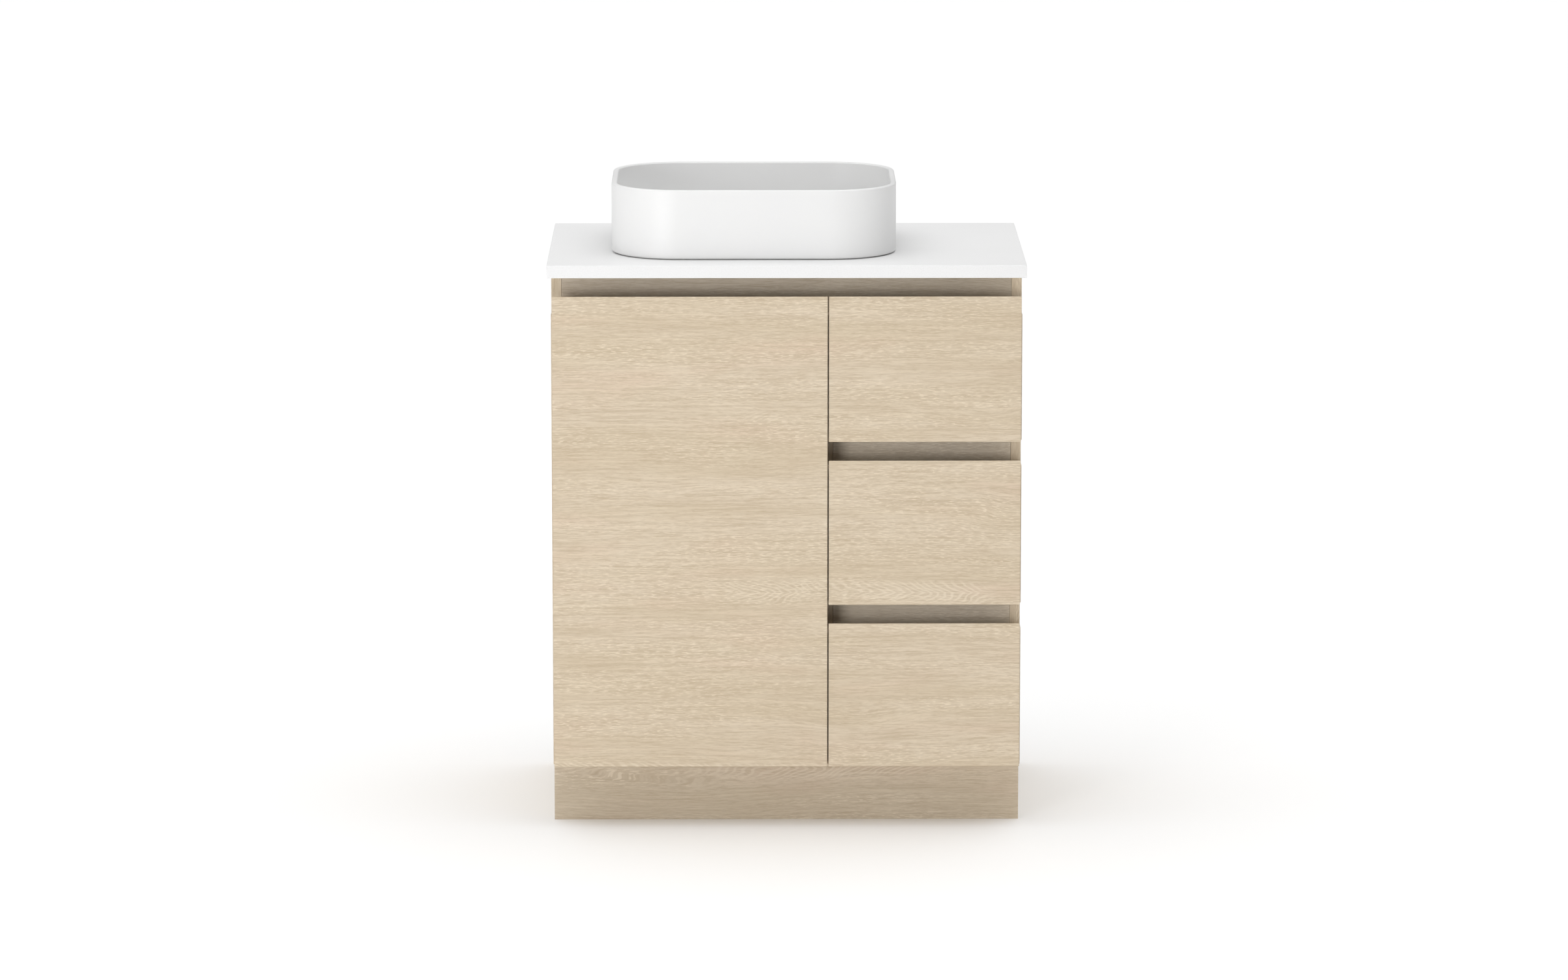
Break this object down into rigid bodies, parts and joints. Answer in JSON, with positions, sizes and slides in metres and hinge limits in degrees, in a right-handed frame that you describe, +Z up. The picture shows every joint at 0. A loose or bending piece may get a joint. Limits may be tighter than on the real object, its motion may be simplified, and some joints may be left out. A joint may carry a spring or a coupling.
{
  "type": "vessel sink on vanity",
  "caption": "Floor-standing bathroom vanity with a thin-walled rounded vessel basin on a benchtop, a hinged cupboard door and finger-pull drawers.",
  "frame": {"origin": "on the floor under the middle of the benchtop, at the centre of the bottom of the bounding box", "axes": "+X to the viewer's right, -Y to the front of the doors, +Y to the wall, +Z up"},
  "size_m": [0.75, 0.5, 1.01],
  "materials": {
    "benchtop": "matte",
    "basin": "satin",
    "front_board": "satin",
    "carcass_board": "satin",
    "rail_board": "satin",
    "white_board": "satin",
    "runner_metal": "satin",
    "hinge_metal": "satin",
    "waste_metal": "polished",
    "rubber": "matte",
    "sealant": "satin",
    "trap_plastic": "gloss"
  },
  "bodies": {
    "cabinet": {"back_panel": "white_board", "base_panel": "carcass_board", "basin": "basin", "basin_seal": "sealant", "benchtop": "benchtop", "channel_rail_above_lower_drawer": "rail_board", "channel_rail_above_middle_drawer": "rail_board", "divider": "carcass_board", "front_top_rail": "rail_board", "hinge_arm_lower": "hinge_metal", "hinge_arm_upper": "hinge_metal", "lower_drawer_runner_left": "runner_metal", "lower_drawer_runner_right": "runner_metal", "middle_drawer_runner_left": "runner_metal", "middle_drawer_runner_right": "runner_metal", "plinth_front": "carcass_board", "plinth_left": "carcass_board", "plinth_rear": "carcass_board", "plinth_right": "carcass_board", "rear_bottom_rail": "carcass_board", "rear_top_rail": "carcass_board", "shelf": "carcass_board", "side_panel_left": "carcass_board", "side_panel_right": "carcass_board", "trap_cup": "trap_plastic", "trap_head": "trap_plastic", "trap_nut": "trap_plastic", "trap_outlet_nut": "trap_plastic", "trap_outlet_pipe": "trap_plastic", "upper_drawer_runner_left": "runner_metal", "upper_drawer_runner_right": "runner_metal", "waste_body": "waste_metal", "waste_locknut": "waste_metal", "waste_washer": "rubber"},
    "door": {"door": "front_board", "hinge_cup_lower": "hinge_metal", "hinge_cup_upper": "hinge_metal"},
    "waste_plug": {"waste_plug": "waste_metal"},
    "lower_drawer": {"lower_drawer_back": "white_board", "lower_drawer_bottom": "white_board", "lower_drawer_front": "front_board", "lower_drawer_side_left": "white_board", "lower_drawer_side_right": "white_board", "lower_drawer_slider_left": "runner_metal", "lower_drawer_slider_right": "runner_metal"},
    "middle_drawer": {"middle_drawer_back": "white_board", "middle_drawer_bottom": "white_board", "middle_drawer_front": "front_board", "middle_drawer_side_left": "white_board", "middle_drawer_side_right": "white_board", "middle_drawer_slider_left": "runner_metal", "middle_drawer_slider_right": "runner_metal"},
    "upper_drawer": {"upper_drawer_back": "white_board", "upper_drawer_bottom": "white_board", "upper_drawer_front": "front_board", "upper_drawer_side_left": "white_board", "upper_drawer_side_right": "white_board", "upper_drawer_slider_left": "runner_metal", "upper_drawer_slider_right": "runner_metal"}
  },
  "joints": [
    {"name": "door_hinge", "type": "hinge", "parent": "cabinet", "child": "door", "pos_m": [-0.3672, -0.227, 0.475], "axis": [0, 0, -1], "range_deg": [0, 110]},
    {"name": "lower_drawer_slide", "type": "slide", "parent": "cabinet", "child": "lower_drawer", "axis": [0, -1, 0], "range_m": [0, 0.3]},
    {"name": "middle_drawer_slide", "type": "slide", "parent": "cabinet", "child": "middle_drawer", "axis": [0, -1, 0], "range_m": [0, 0.3]},
    {"name": "upper_drawer_slide", "type": "slide", "parent": "cabinet", "child": "upper_drawer", "axis": [0, -1, 0], "range_m": [0, 0.3]},
    {"name": "waste_plug_slide", "type": "slide", "parent": "cabinet", "child": "waste_plug", "axis": [0, 0, 1], "range_m": [0, 0.009]}
  ]
}
